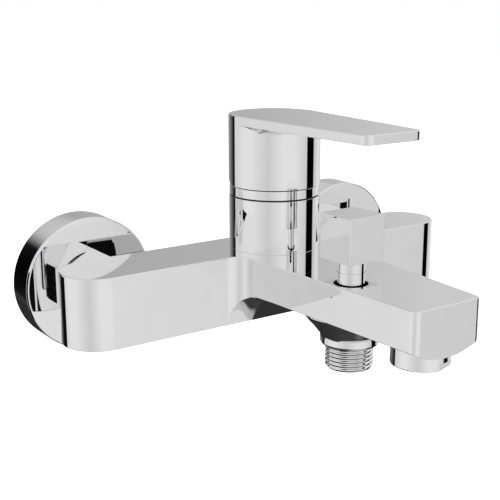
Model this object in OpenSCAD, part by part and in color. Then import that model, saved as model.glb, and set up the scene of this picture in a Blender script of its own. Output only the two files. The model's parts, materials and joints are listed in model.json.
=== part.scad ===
// Exposed single-lever bath mixer for a wall with two 150 mm ports: a straight bar body with a
// column and a flat lever, a flat spout with an aerator, and a pull-up diverter above a shower outlet.
// +Z is up, +Y points into the wall, and the origin lies on the wall plane between the two inlets.

/* [Wall connection] */
// Distance between the two inlet axes
inlet_spacing = 150; // [140:1:160]
// Depth of the wall flanges
flange_depth = 16; // [14:0.5:18]
// Radius of the wall flanges at the wall
flange_r = 31.3; // [29:0.1:34]
// How far the wall threads sit below the inlets through the eccentric unions
union_offset = 4; // [0:0.5:6]
// Length of the wall threads behind the wall plane
wall_thread_length = 15; // [10:1:18]

/* [Bar body] */
// Overall length of the bar
bar_length = 207.4; // [200:0.2:220]
// Height of the bar
bar_height = 31.7; // [31:0.1:34]
// Depth of the bar, which has half-round ends
bar_depth = 32; // [31:0.5:34]
// Distance from the wall to the back of the bar
bar_standoff = 33.2; // [33:0.1:36]
// Height of the bar's middle above the inlet axes
bar_rise = 0.55; // [0:0.05:1]

/* [Spout] */
// Distance from the wall to the tip of the spout
spout_reach = 170.8; // [168:0.2:176]
// Width of the spout at its tip
spout_tip_width = 35.3; // [35:0.1:38]
// Widening of each side of the spout per millimetre towards the wall
spout_flare = 0.064; // [0.05:0.002:0.075]
// Height of the spout's vertical sides
spout_side_height = 16.7; // [16:0.1:18]
// Depth of the round belly below the sides at the tip
belly_depth = 4.5; // [4:0.1:5]
// Radius of the corners at the tip
spout_corner_r = 3.2; // [2:0.1:4]
// Radius of the upright fillets between bar and spout
root_fillet_r = 8; // [6:0.5:10]
// Radius of the aerator housing
aerator_r = 12.05; // [11.8:0.05:12.3]
// Distance from the wall to the aerator axis
aerator_reach = 156.1; // [155:0.1:157]

/* [Column and lever] */
// Distance from the wall to the column axis
column_reach = 57; // [56.5:0.1:57.5]
// Radius of the cover sleeve
sleeve_r = 20.9; // [20.8:0.05:21]
// Height of the cover sleeve
sleeve_height = 24.3; // [24:0.1:24.5]
// Radius of the lever's hub
hub_r = 21.1; // [21:0.05:21.4]
// Height of the lever's top face above the inlet axes
lever_top = 77.85; // [77:0.05:80]
// Thickness of the lever plate
lever_thickness = 4.2; // [3.6:0.1:5]
// Distance from the wall to the tip of the lever
lever_reach = 137.9; // [130:0.1:145]
// Width of the lever at its tip
lever_tip_width = 30.5; // [28:0.5:36]

/* [Diverter and shower outlet] */
// Distance from the wall to the diverter axis
diverter_reach = 113; // [112:0.1:114]
// Width of the square knob
knob_size = 19.1; // [18:0.1:21]
// Height of the square knob
knob_height = 19.6; // [18:0.1:21]
// Turn of the knob about its stem, which spins freely
knob_turn = 2; // [-45:1:45]
// Height of the knob's underside above the inlet axes
knob_base = 21.8; // [21.5:0.1:23]
// Travel of the diverter when its knob is pulled up
diverter_travel = 8; // [6:0.5:8]
// Distance from the inlet axes down to the end of the shower thread
shower_drop = 26; // [25:0.1:28]

/* [Hidden] */
$fn = 96;
cut = 1;                    // how far a cutting shape runs past the face it opens
gap = 0.05;                 // radial clearance of parts that turn or slide in one another

// Pipe threads as plain cylinders at their major radius
thread_half_inch_r = 10.48;
thread_three_quarter_r = 13.22;

// Wall connections
union_end = 26.2;           // distance from the wall to the washer face of the union
nut_length = 15.4;

// Bar and spout levels
bar_top = bar_rise + bar_height / 2;
bar_bottom = bar_rise - bar_height / 2;
bar_back = -bar_standoff;
bar_front = bar_back - bar_depth;
bar_mid = (bar_back + bar_front) / 2;
bar_end_x = (bar_length - bar_depth) / 2;
spout_tip = -spout_reach;
spout_edge = bar_top - spout_side_height;
belly_tip_r = (pow(spout_tip_width / 2, 2) + pow(belly_depth, 2)) / (2 * belly_depth);
ledge = 0.3;                // the arch under the spout starts this far in front of the bar
arch_foot = 4;              // height of the upright foot of the arch
arch_r = spout_edge - bar_bottom + 0.5 - arch_foot;
spout_clear_x = 60;         // what is cut away under the spout reaches this far out
spout_clear_height = bar_height - 10;

// Water ways
channel_r = 3;
supply_r = 6;
supply_z = -1;
inlet_port = [7, -50];      // cartridge inlets, mirrored left and right
outlet_port_y = -65;
rear_channel_z = -0.8;
front_channel_z = 5.6;

// Cartridge levels
column_y = -column_reach;
seat_z = 9.5;
base_top = 14.5;
disc_split = 18;
carrier_base = 21;
carrier_top = 27;
guide_base = 27.5;
housing_lip = 31;
housing_top = 36.5;
pivot_z = 37;
guide_top = 39.5;
nut_top = 43.5;
housing_r = 17.2;
housing_bore_r = 15.6;
guide_r = 14;
tower_r = 19.4;
nut_r = 18.1;
disc_offset = 2.1;          // the moving disc starts this far behind the axis and ends as far ahead
ball_r = 2.9;
ball_z = pivot_z - 10;
spindle_r = 4;
spindle_top = 73;

// Column levels
sleeve_top = bar_top + sleeve_height;
dome_base = sleeve_top + 0.6;
dome_r = 22.2;              // outer radius of the dome about the lever's pivot
dome_wall = 1.2;
dome_mouth_r = 13.2;
hub_base = 45.8;
hub_cavity_r = 17.5;
hub_cavity_top = 69;
socket_r = 9;
socket_base = 60;
screw_z = 66;
plate_base = lever_top - lever_thickness;
lever_tip = -lever_reach;
lever_corner_r = 4.2;

// Diverter levels
diverter_y = -diverter_reach;
neck_r = 6;
neck_base = 7.6;
neck_top = 31;
knob_bore_r = 7.5;
knob_bore_top = 32;
upper_seat_top = 4.4;
upper_seat = 2.6;
upper_seat_r = 5.6;
chamber_r = 8.5;
lower_seat = -9.4;
seal_base = lower_seat + 0.05;
plate_bottom = seal_base + 1.2;
plate_top = plate_bottom + 1.5;
stem_r = 4;
stem_tip_r = 3;
stem_top = 38;
boss_r = 12.5;
boss_bottom = -15.7;
thread_top = -16.2;
shower_end = -shower_drop;
check_r = 7.5;
check_top = -12;
check_bottom = -21;

// Aerator levels
aerator_y = -aerator_reach;
aerator_bottom = -11.2;
aerator_shoulder = -1.6;
aerator_thread_r = 11;
aerator_top = 3.5;

// ---- Shared shapes -------------------------------------------------------------------------

// Round bar along Z between two heights
module post(r, low, high) translate([0, 0, low]) cylinder(r = r, h = high - low);

// Tube along Z between two heights
module tube(r_out, r_in, low, high) difference() {
    post(r_out, low, high);
    post(r_in, low - cut, high + cut);
}

// Turns a shape built along Z so that its height runs towards -Y, out of the wall
module out_of_wall() rotate([90, 0, 0]) children();

// Round bar along X between two positions
module cross_bar(r, from, to) translate([from, 0, 0]) rotate([0, 90, 0]) cylinder(r = r, h = to - from);

// Ring of round section lying flat
module o_ring(mean_r, wire_r, z)
    translate([0, 0, z]) rotate_extrude() translate([mean_r, 0]) circle(wire_r);

module at_column() translate([0, column_y, 0]) children();
module at_diverter() translate([0, diverter_y, 0]) children();
module at_aerator() translate([0, aerator_y, 0]) children();
module at_inlet(side) translate([side * inlet_spacing / 2, 0, 0]) children();

// Half width of the spout at a distance y from the wall
function spout_half(y) = spout_tip_width / 2 + spout_flare * (y - spout_tip);

// Compression spring as one swept tube: wire_sides points round the wire at each step of the helix
function spring_ring(mean_r, wire_r, z, angle, sides) = [
    for (k = [0 : sides - 1])
        let (r = mean_r + wire_r * cos(360 * k / sides))
        [r * cos(angle), r * sin(angle), z + wire_r * sin(360 * k / sides)]
];
module spring(mean_r, wire_r, low, high, turns, sides = 6, steps = 16) {
    count = turns * steps;
    bottom = low + wire_r;
    climb = (high - low - 2 * wire_r) / count;
    points = [
        for (i = [0 : count]) each spring_ring(mean_r, wire_r, bottom + climb * i, 360 * i / steps, sides)
    ];
    walls = [
        for (i = [0 : count - 1], k = [0 : sides - 1])
            let (at = i * sides, next = (k + 1) % sides)
            [at + k, at + next, at + sides + next, at + sides + k]
    ];
    start = [for (k = [0 : sides - 1]) sides - 1 - k];
    end = [for (k = [0 : sides - 1]) count * sides + k];
    polyhedron(points = points, faces = concat([start], walls, [end]), convexity = 10);
}

// ---- Bar, spout and bosses: one brass casting ----------------------------------------------

module bar_outline() {
    translate([-bar_end_x, bar_front]) square([2 * bar_end_x, bar_depth]);
    for (side = [-1, 1]) translate([side * bar_end_x, bar_mid]) circle(d = bar_depth);
}

// Points along an arc about a centre
function arc(centre, r, from, to, steps) = [
    for (i = [0 : steps]) let (a = from + (to - from) * i / steps) centre + r * [cos(a), sin(a)]
];

// Right half of the spout's plan: hollow fillet against the bar, tapered side, rounded tip corner
function spout_side() =
    let (
        taper = atan(spout_flare),
        fillet_y = bar_front - root_fillet_r,
        fillet_x = spout_half(fillet_y) + root_fillet_r / cos(taper),
        corner_y = spout_tip + spout_corner_r,
        corner_x = spout_half(corner_y) - spout_corner_r / cos(taper)
    )
    concat(
        [[fillet_x, bar_mid]],
        arc([fillet_x, fillet_y], root_fillet_r, 90, 180 - taper, 10),
        arc([corner_x, corner_y], spout_corner_r, -taper, -90, 6)
    );

module spout_outline() polygon(concat(
    spout_side(), [for (i = [len(spout_side()) - 1 : -1 : 0]) [-spout_side()[i][0], spout_side()[i][1]]]
));

// Leaning cone whose lowest line is the keel of the belly
module belly_cone() {
    spread = spout_half(bar_front) / spout_half(spout_tip);
    root_r = belly_tip_r * spread;
    root_depth = belly_depth * spread;
    run = bar_front - spout_tip;
    rise = (root_r - root_depth) - (belly_tip_r - belly_depth);
    lean = atan(rise / run);
    reach = run / cos(lean);
    growth = (root_r - belly_tip_r) / reach;
    lead = 8;
    translate([0, spout_tip, spout_edge - belly_depth + belly_tip_r]) rotate([lean - 90, 0, 0])
        translate([0, 0, -lead])
            cylinder(r1 = belly_tip_r - growth * lead, r2 = root_r + growth * lead, h = reach + 2 * lead);
}

// What is cut away under the spout: everything below the belly, and the arch against the bar
module below_spout() {
    arch_y = bar_front - ledge - arch_r;
    difference() {
        union() {
            translate([-spout_clear_x, spout_tip - cut, bar_bottom - cut])
                cube([2 * spout_clear_x, arch_y - spout_tip + cut, spout_clear_height]);
            translate([-spout_clear_x, arch_y - cut, bar_bottom - cut])
                cube([2 * spout_clear_x, arch_r + cut, arch_foot + cut]);
            translate([0, arch_y, bar_bottom + arch_foot]) cross_bar(arch_r, -spout_clear_x, spout_clear_x);
        }
        belly_cone();
    }
}

// Flared neck under the spout that ends in the collar of the shower outlet
module shower_boss() {
    neck = [17.8, -4.9];
    sweep_r = 11;
    neck_slope = atan((neck[1] - boss_bottom - 3.4) / (neck[0] - boss_r));
    rim_slope = 20;
    intersection() {
        at_diverter() rotate_extrude() polygon(concat(
            [[0, boss_bottom], [boss_r - 1.2, boss_bottom], [boss_r, boss_bottom + 1.3],
             [boss_r, boss_bottom + 3.4]],
            [for (t = [0 : 6])
                let (a = neck_slope + (rim_slope - neck_slope) * t / 6)
                neck + sweep_r * [sin(neck_slope) - sin(a), cos(a) - cos(neck_slope)]],
            [[0, 4]]
        ));
        translate([0, 0, bar_bottom - 5]) linear_extrude(bar_height) spout_outline();
    }
}

module water_ways() {
    for (side = [-1, 1]) {
        at_inlet(side) out_of_wall() post(thread_half_inch_r, bar_standoff - cut, bar_standoff + 12);
        translate([side * inlet_port[0], inlet_port[1], 0]) post(channel_r, supply_z, seat_z + cut);
    }
    translate([0, bar_mid, supply_z]) {
        cross_bar(supply_r, 4, inlet_spacing / 2 + 4);
        cross_bar(supply_r, -inlet_spacing / 2 - 4, -4);
    }
    translate([0, outlet_port_y, 0]) post(channel_r, rear_channel_z, seat_z + cut);
    translate([0, 0, rear_channel_z]) out_of_wall()
        post(channel_r, -outlet_port_y, diverter_reach - chamber_r + cut);
    translate([0, 0, front_channel_z]) out_of_wall() post(channel_r, diverter_reach + 5, aerator_reach);
}

module body() color("gainsboro") difference() {
    union() {
        translate([0, 0, bar_bottom]) linear_extrude(bar_height) bar_outline();
        difference() {
            translate([0, 0, bar_bottom]) linear_extrude(bar_height) spout_outline();
            below_spout();
        }
        shower_boss();
        at_column() post(tower_r, bar_top - cut, dome_base);
    }
    water_ways();
    at_column() {
        post(housing_r + 0.2, seat_z, housing_top);
        post(nut_r, housing_top - gap, dome_base + cut);
    }
    at_diverter() {
        post(neck_r, upper_seat_top, bar_top + cut);
        post(upper_seat_r, upper_seat - cut, upper_seat_top + cut);
        post(chamber_r, lower_seat - cut, upper_seat);
        post(thread_half_inch_r, boss_bottom - cut, lower_seat);
    }
    at_aerator() {
        post(aerator_r + 0.1, bar_bottom, aerator_shoulder + 0.1);
        post(aerator_thread_r, aerator_shoulder, aerator_top + 0.1);
        post(8, aerator_top, front_channel_z + channel_r);
    }
}

// ---- Wall connections ----------------------------------------------------------------------

// Cup with a slightly flaring rim; heights run out of the wall
module wall_flange(side) color("gainsboro") at_inlet(side) out_of_wall() rotate_extrude() polygon([
    [flange_r - 1.3, 0], [flange_r, 0], [flange_r - 0.3, flange_depth - 0.9],
    [flange_r - 0.5, flange_depth - 0.35], [flange_r - 1, flange_depth],
    [thread_three_quarter_r + 0.08, flange_depth], [thread_three_quarter_r + 0.08, flange_depth - 1.5],
    [flange_r - 1.6, flange_depth - 1.5]
]);

module eccentric_union(side) color("gainsboro") at_inlet(side) difference() {
    union() {
        translate([0, 0, -union_offset]) out_of_wall() post(thread_half_inch_r, -wall_thread_length, cut);
        translate([0, 0, -union_offset / 2]) out_of_wall() post(16.5, 0, 11);
        out_of_wall() post(thread_three_quarter_r, 11 - cut, union_end);
    }
    translate([0, 0, -union_offset]) out_of_wall() post(7, -wall_thread_length - cut, 9);
    out_of_wall() post(7.5, 6, union_end + cut);
}

module union_nut(side) color("gainsboro") at_inlet(side) {
    across_flats = 30;
    corner_r = across_flats / sqrt(3);
    start = bar_standoff - 0.2 - nut_length;
    out_of_wall() difference() {
        intersection() {
            translate([0, 0, start]) rotate([0, 0, 90]) cylinder(r = corner_r, h = nut_length, $fn = 6);
            translate([0, 0, start]) rotate_extrude() polygon([
                [0, 0], [across_flats / 2, 0], [corner_r + 0.2, 1.4],
                [corner_r + 0.2, nut_length - 1.4], [across_flats / 2, nut_length], [0, nut_length]
            ]);
        }
        post(thread_three_quarter_r + gap, start - cut, start + nut_length - 1.7);
        post(10.6, start, start + nut_length + cut);
    }
}

module inlet_nipple(side) color("goldenrod") at_inlet(side) out_of_wall() difference() {
    union() {
        post(thread_half_inch_r, bar_standoff, bar_standoff + 11.5);
        post(10.4, bar_standoff - 2.1, bar_standoff + cut);
        post(12.6, bar_standoff - 5, bar_standoff - 2);
    }
    post(6.5, bar_standoff - 6, bar_standoff + 13);
}

module union_washer(side) color("dimgray") at_inlet(side) out_of_wall()
    tube(12.6, 8, union_end, bar_standoff - 5);

module filter_screen(side) color("silver") at_inlet(side) out_of_wall() difference() {
    post(8, union_end + 0.6, union_end + 1.1);
    for (ring = [1 : 3], i = [0 : 6 * ring - 1])
        rotate([0, 0, 60 * i / ring]) translate([2.1 * ring, 0, 0]) post(0.7, union_end, union_end + 2);
}

// ---- Column --------------------------------------------------------------------------------

module cover_sleeve() color("gainsboro") at_column()
    tube(sleeve_r, tower_r + 0.15, bar_top, sleeve_top);

module groove_ring() color("black") at_column()
    tube(sleeve_r - 0.7, tower_r + gap, sleeve_top, dome_base);

// Ring that screws on the cartridge nut and carries the dome under the lever's hub
module dome_ring() color("gainsboro") at_column() difference() {
    union() {
        translate([0, 0, dome_base])
            cylinder(r1 = sleeve_r, r2 = sqrt(pow(dome_r, 2) - pow(hub_base - 0.1 - pivot_z, 2)),
                     h = hub_base - 0.1 - dome_base);
        intersection() {
            translate([0, 0, pivot_z]) sphere(dome_r);
            post(dome_r, hub_base - 0.2, pivot_z + dome_r);
        }
    }
    post(nut_r + gap, dome_base - cut, nut_top);
    intersection() {
        translate([0, 0, pivot_z]) sphere(dome_r - dome_wall);
        post(dome_r, nut_top - gap, pivot_z + dome_r);
    }
    post(dome_mouth_r, nut_top, pivot_z + dome_r + cut);
}

module cartridge_nut() color("goldenrod") at_column() difference() {
    post(nut_r, housing_top, nut_top);
    post(guide_r + 0.6, housing_top - cut, nut_top + cut);
    for (i = [0 : 5]) rotate([0, 0, 60 * i]) translate([nut_r - 1.6, -2, nut_top - 2]) cube([3, 4, 3]);
}

// ---- Ceramic cartridge ---------------------------------------------------------------------

module ports(r, low, high) {
    for (side = [-1, 1])
        translate([side * inlet_port[0], inlet_port[1] - column_y, 0]) post(r, low, high);
    translate([0, outlet_port_y - column_y, 0]) post(r, low, high);
}

module cartridge_base() color("white") at_column() difference() {
    post(housing_r, seat_z, base_top);
    ports(channel_r, seat_z - cut, base_top + cut);
    ports(channel_r + 1.4, seat_z - cut, seat_z + 1.4);
}

module base_seals() color("black") at_column() difference() {
    ports(channel_r + 1.35, seat_z, seat_z + 1.4);
    ports(channel_r, seat_z - cut, seat_z + 3);
}

module cartridge_housing() color("white") at_column() difference() {
    post(housing_r, base_top, housing_top);
    post(housing_bore_r, base_top - cut, housing_lip);
    post(guide_r + gap, housing_lip - cut, housing_top + cut);
}

module fixed_disc() color("ivory") at_column() difference() {
    post(14.5, base_top, disc_split - 0.02);
    ports(channel_r - 0.2, base_top - cut, disc_split + cut);
}

module moving_disc() color("ivory") at_column() translate([0, disc_offset, 0]) difference() {
    post(10.5, disc_split, carrier_base);
    translate([0, -3.6, 0]) post(4, disc_split - cut, disc_split + 1.6);
}

module disc_carrier() color("lightgray") at_column() difference() {
    translate([0, disc_offset, 0]) post(10.5, carrier_base, carrier_top);
    post(ball_r + 0.15, carrier_base + 1.6, carrier_top + cut);
}

// Collar that turns in the housing; its slot lets the spindle tilt towards and away from the wall
module spindle_guide() color("lightgray") at_column() difference() {
    union() {
        post(15, guide_base, housing_lip - gap);
        post(guide_r, housing_lip - cut, guide_top);
    }
    slot_r = spindle_r + 0.2;
    travel = 4.8;
    translate([-slot_r, -travel, guide_base - cut]) cube([2 * slot_r, 2 * travel, guide_top]);
    for (side = [-1, 1]) translate([0, side * travel, 0]) post(slot_r, guide_base - cut, guide_top + cut);
    translate([0, 0, pivot_z]) cross_bar(1.5, -guide_r - cut, guide_r + cut);
}

module pivot_pin() color("silver") at_column() translate([0, 0, pivot_z]) cross_bar(1.5, -12.5, 12.5);

module spindle() color("goldenrod") at_column() difference() {
    union() {
        post(spindle_r, pivot_z - 4, spindle_top);
        translate([0, 0, pivot_z - 4]) sphere(spindle_r);
        post(2, ball_z, pivot_z - 4);
        translate([0, 0, ball_z]) sphere(ball_r);
    }
    translate([0, 0, pivot_z]) cross_bar(1.5 + gap, -spindle_r - cut, spindle_r + cut);
}

// ---- Lever ---------------------------------------------------------------------------------

// Plan of the lever plate: round behind the column axis, tapering to a rounded tip
module lever_outline() {
    tip_x = lever_tip_width / 2;
    corner = [tip_x - lever_corner_r, lever_tip + lever_corner_r];
    circle(hub_r);
    translate([0, -column_y]) {
        polygon([
            [-hub_r, column_y], [-tip_x - 0.3, corner[1]], [-corner[0], lever_tip],
            [corner[0], lever_tip], [tip_x + 0.3, corner[1]], [hub_r, column_y]
        ]);
        for (side = [-1, 1]) translate([side * corner[0], corner[1]]) circle(lever_corner_r);
    }
}

module handle() color("gainsboro") at_column() difference() {
    union() {
        intersection() {
            post(hub_r, hub_base, lever_top);
            translate([0, -1, 0]) union() {
                translate([0, 0, hub_base]) cylinder(r1 = hub_r - 1.2, r2 = hub_r + 1.2, h = 5);
                post(hub_r + 2, hub_base + 5, lever_top);
            }
        }
        translate([0, 0, plate_base]) linear_extrude(lever_thickness) lever_outline();
    }
    difference() {
        union() {
            translate([0, 0, pivot_z]) sphere(dome_r + 0.3);
            post(hub_cavity_r, pivot_z, hub_cavity_top);
        }
        post(socket_r, socket_base, hub_cavity_top + cut);
    }
    post(spindle_r, socket_base - cut, spindle_top + 0.2);
    translate([0, 0, screw_z]) rotate([-90, 0, 0]) {
        post(2.5, 0, socket_r + cut);
        post(3, hub_cavity_r - cut, hub_r + cut);
    }
}

module set_screw() color("dimgray") at_column() translate([0, 0, screw_z]) rotate([-90, 0, 0])
    difference() {
        post(2.5, spindle_r, socket_r);
        translate([0, 0, socket_r - 2.5]) cylinder(r = 1.45, h = 3, $fn = 6);
    }

module screw_plug() color("gainsboro") at_column() intersection() {
    translate([0, 0, screw_z]) rotate([-90, 0, 0]) post(3, hub_cavity_r + 0.4, hub_r + cut);
    post(hub_r - 0.1, screw_z - 5, screw_z + 5);
}

// ---- Diverter ------------------------------------------------------------------------------

// Square cap whose bore slides over the neck
module diverter_knob() color("gainsboro") at_diverter() difference() {
    rotate([0, 0, knob_turn]) translate([-knob_size / 2, -knob_size / 2, knob_base])
        cube([knob_size, knob_size, knob_height]);
    post(knob_bore_r, knob_base - cut, knob_bore_top);
    post(stem_r, knob_bore_top - cut, stem_top + 0.2);
}

module diverter_stem() color("goldenrod") at_diverter() {
    post(stem_r, -1.6, stem_top);
    post(stem_tip_r, seal_base, -1.6);
    post(3.9, plate_top + gap, plate_top + 1);
}

// Fixed bush that guides the stem and stands out of the spout as the knob's neck
module diverter_neck() color("gainsboro") at_diverter() difference() {
    post(neck_r, neck_base, neck_top);
    post(stem_r + gap, neck_base - cut, neck_top + cut);
    post(stem_r + 1.2, neck_base + 1.8, neck_base + 3.2);
}

module neck_o_ring() color("black") at_diverter() o_ring(stem_r + 0.62, 0.54, neck_base + 2.5);

module diverter_spring() color("silver") at_diverter()
    spring(4.75, 0.4, plate_top + 0.02, neck_base - 0.02, 7);

module valve_plate() color("goldenrod") at_diverter()
    tube(7.8, stem_tip_r + gap, plate_bottom, plate_top);

module upper_valve_seal() color("black") at_diverter() tube(7.6, 5.3, plate_top, plate_top + 1);

module lower_valve_seal() color("black") at_diverter() tube(7.8, 4.2, seal_base, plate_bottom);

module stem_clip() color("silver") at_diverter()
    tube(3.9, stem_tip_r, plate_bottom - 0.75, plate_bottom - gap);

// ---- Shower outlet with its non-return valve -----------------------------------------------

module shower_nipple() color("gainsboro") at_diverter() difference() {
    union() {
        post(thread_half_inch_r, shower_end, thread_top);
        post(9.9, thread_top - cut, boss_bottom + cut);
        post(thread_half_inch_r, boss_bottom + 0.3, lower_seat);
    }
    post(6.5, check_top, lower_seat + cut);
    post(check_r + 0.1, shower_end - cut, check_top + 0.6);
}

module check_valve_body() color("white") at_diverter() difference() {
    post(check_r, check_bottom, check_top);
    post(3.6, check_top - 2, check_top + cut);
    post(6, check_bottom + 1.5, check_top - 1.5);
    post(1.25, check_bottom - cut, check_bottom + 2);
    for (i = [0 : 3]) rotate([0, 0, 90 * i + 45]) translate([3.9, 0, 0])
        post(1.7, check_bottom - cut, check_bottom + 2);
    tube(check_r + cut, check_r - 0.7, check_top - 4.2, check_top - 2.8);
}

module check_valve_seal() color("black") at_diverter()
    tube(check_r + 0.08, check_r - 0.7, check_top - 4.1, check_top - 2.9);

module check_valve_poppet() color("black") at_diverter() {
    post(4.9, check_top - 3, check_top - 1.6);
    post(1.2, check_bottom - 1.2, check_top - 2.9);
}

module check_valve_spring() color("silver") at_diverter()
    spring(3, 0.25, check_bottom + 1.52, check_top - 3.02, 4);

// ---- Aerator -------------------------------------------------------------------------------

module aerator_housing() color("gainsboro") at_aerator() difference() {
    union() {
        post(aerator_r, aerator_bottom, aerator_shoulder);
        post(aerator_thread_r, aerator_shoulder - cut, aerator_top - 1);
    }
    post(9.6, aerator_bottom + 1, aerator_top);
    post(8.9, aerator_bottom - cut, aerator_bottom + 2);
    for (turn = [18, 198]) rotate([0, 0, turn])
        translate([-6, -aerator_r - 3.9, aerator_bottom - cut]) cube([12, 5, 4]);
}

module aerator_gasket() color("black") at_aerator()
    tube(aerator_thread_r - 0.1, 8.2, aerator_top - 1, aerator_top);

module aerator_insert() color("white") at_aerator() difference() {
    post(9.5, aerator_bottom + 2.6, aerator_top - 1.2);
    for (ring = [1 : 3], i = [0 : 6 * ring - 1])
        rotate([0, 0, 60 * i / ring]) translate([2.5 * ring, 0, 0])
            post(0.85, aerator_bottom, aerator_top);
}

module aerator_screen() color("silver") at_aerator() difference() {
    post(9.5, aerator_bottom + 1.05, aerator_bottom + 2.4);
    for (ring = [1 : 4], i = [0 : 6 * ring - 1])
        rotate([0, 0, 60 * i / ring]) translate([2.05 * ring, 0, 0])
            post(0.75, aerator_bottom, aerator_bottom + 4);
}

// ---- One line for each node ----------------------------------------------------------------

body();
wall_flange(-1);  // wall_flange_left
wall_flange(1);  // wall_flange_right
eccentric_union(-1);  // eccentric_union_left
eccentric_union(1);  // eccentric_union_right
union_nut(-1);  // union_nut_left
union_nut(1);  // union_nut_right
inlet_nipple(-1);  // inlet_nipple_left
inlet_nipple(1);  // inlet_nipple_right
union_washer(-1);  // union_washer_left
union_washer(1);  // union_washer_right
filter_screen(-1);  // filter_screen_left
filter_screen(1);  // filter_screen_right
cover_sleeve();
groove_ring();
dome_ring();
cartridge_nut();
cartridge_base();
base_seals();
cartridge_housing();
fixed_disc();
moving_disc();
disc_carrier();
spindle_guide();
pivot_pin();
spindle();
handle();
set_screw();
screw_plug();
diverter_knob();
diverter_stem();
diverter_neck();
neck_o_ring();
diverter_spring();
valve_plate();
upper_valve_seal();
lower_valve_seal();
stem_clip();
shower_nipple();
check_valve_body();
check_valve_seal();
check_valve_poppet();
check_valve_spring();
aerator_housing();
aerator_gasket();
aerator_insert();
aerator_screen();
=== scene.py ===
"""Looks of a wall mounted bath mixer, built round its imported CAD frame.

Shapes are worked out in millimetres from the CAD nodes' boxes and scaled to metres when a mesh is made.
"""

import json
import math

import bmesh
import bpy
from mathutils import Euler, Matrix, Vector


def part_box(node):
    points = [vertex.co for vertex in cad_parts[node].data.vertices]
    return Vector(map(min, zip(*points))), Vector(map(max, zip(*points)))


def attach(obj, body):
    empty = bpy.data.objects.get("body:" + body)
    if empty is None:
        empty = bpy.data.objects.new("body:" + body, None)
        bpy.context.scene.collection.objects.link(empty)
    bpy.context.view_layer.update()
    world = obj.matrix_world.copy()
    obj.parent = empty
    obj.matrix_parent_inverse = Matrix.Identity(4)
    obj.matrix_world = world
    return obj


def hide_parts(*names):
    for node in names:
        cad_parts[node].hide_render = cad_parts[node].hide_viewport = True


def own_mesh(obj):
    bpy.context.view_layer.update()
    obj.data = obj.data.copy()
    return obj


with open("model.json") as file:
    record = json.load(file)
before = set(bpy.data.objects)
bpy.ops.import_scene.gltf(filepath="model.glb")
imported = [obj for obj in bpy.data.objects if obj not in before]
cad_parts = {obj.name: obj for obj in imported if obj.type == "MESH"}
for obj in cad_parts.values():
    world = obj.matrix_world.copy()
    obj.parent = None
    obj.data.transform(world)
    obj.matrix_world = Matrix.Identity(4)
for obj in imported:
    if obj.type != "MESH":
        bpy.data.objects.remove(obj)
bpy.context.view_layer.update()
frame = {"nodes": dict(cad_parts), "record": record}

MM = 0.001
TURN = 2 * math.pi


def box_mm(node):
    """Lowest and highest corner of a CAD node, in millimetres."""
    low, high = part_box(node)
    return Vector(low) / MM, Vector(high) / MM


# ---- Sizes ---------------------------------------------------------------------------------

BODY_LOW, BODY_HIGH = box_mm("body")
SLEEVE_LOW, SLEEVE_HIGH = box_mm("cover_sleeve")
HANDLE_LOW, HANDLE_HIGH = box_mm("handle")
KNOB_LOW, KNOB_HIGH = box_mm("diverter_knob")
NIPPLE_LOW, NIPPLE_HIGH = box_mm("shower_nipple")
AERATOR_LOW, AERATOR_HIGH = box_mm("aerator_housing")
FLANGE_LOW, FLANGE_HIGH = box_mm("wall_flange_right")
NUT_LOW, NUT_HIGH = box_mm("union_nut_right")

INLET_X = (FLANGE_LOW.x + FLANGE_HIGH.x) / 2
G_HALF_R = 10.48
G_HALF_PITCH = 1.814
G_THREE_QUARTER_R = 13.22

BAR_TOP = SLEEVE_LOW.z
BAR_HEIGHT = 31.7
BAR_DEPTH = 32
BAR_BOTTOM = BAR_TOP - BAR_HEIGHT
BAR_BACK = BODY_HIGH.y
BAR_FRONT = BAR_BACK - BAR_DEPTH
BAR_END_R = (BAR_BACK - BAR_FRONT) / 2
BAR_END_X = BODY_HIGH.x - BAR_END_R
RIM_R = 0.6
LOWER_RIM_R = 0.2

SPOUT_TIP = BODY_LOW.y
SPOUT_TIP_HALF = 17.65
SPOUT_FLARE = 0.064
SPOUT_EDGE = BAR_TOP - 16.7
SPOUT_CORNER_R = 3.2
ROOT_FILLET_R = 8
BELLY_DEPTH = 4.5
BELLY_EDGE_R = 0.15
ARCH_R = 11.5
ARCH_FOOT = 4
ARCH_LENGTH = 22
ARCH_RISE = 16.5

COLUMN_Y = (SLEEVE_LOW.y + SLEEVE_HIGH.y) / 2
COLUMN_R = SLEEVE_HIGH.x
DOME_BASE = SLEEVE_HIGH.z + 0.6
DOME_R = 22.2
PIVOT_Z = 37
DOME_MOUTH_R = 13.2

DIVERTER_Y = (NIPPLE_LOW.y + NIPPLE_HIGH.y) / 2
NECK_R = 6
BOSS_R = 12.85
FLARE_R = 20.5
BOSS_BOTTOM = BODY_LOW.z
THREAD_TOP = BOSS_BOTTOM - 0.5
AERATOR_Y = (AERATOR_LOW.y + AERATOR_HIGH.y) / 2
AERATOR_R = AERATOR_HIGH.x

# ---- Materials -----------------------------------------------------------------------------


def node_material(name, metallic, specular=0.5):
    """A material with a Principled shader whose even values sit on its own sockets."""
    material = bpy.data.materials.new(name)
    material.use_nodes = True
    shader = material.node_tree.nodes["Principled BSDF"]
    shader.inputs["Metallic"].default_value = metallic
    shader.inputs["Specular IOR Level"].default_value = specular
    return material, shader


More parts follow.
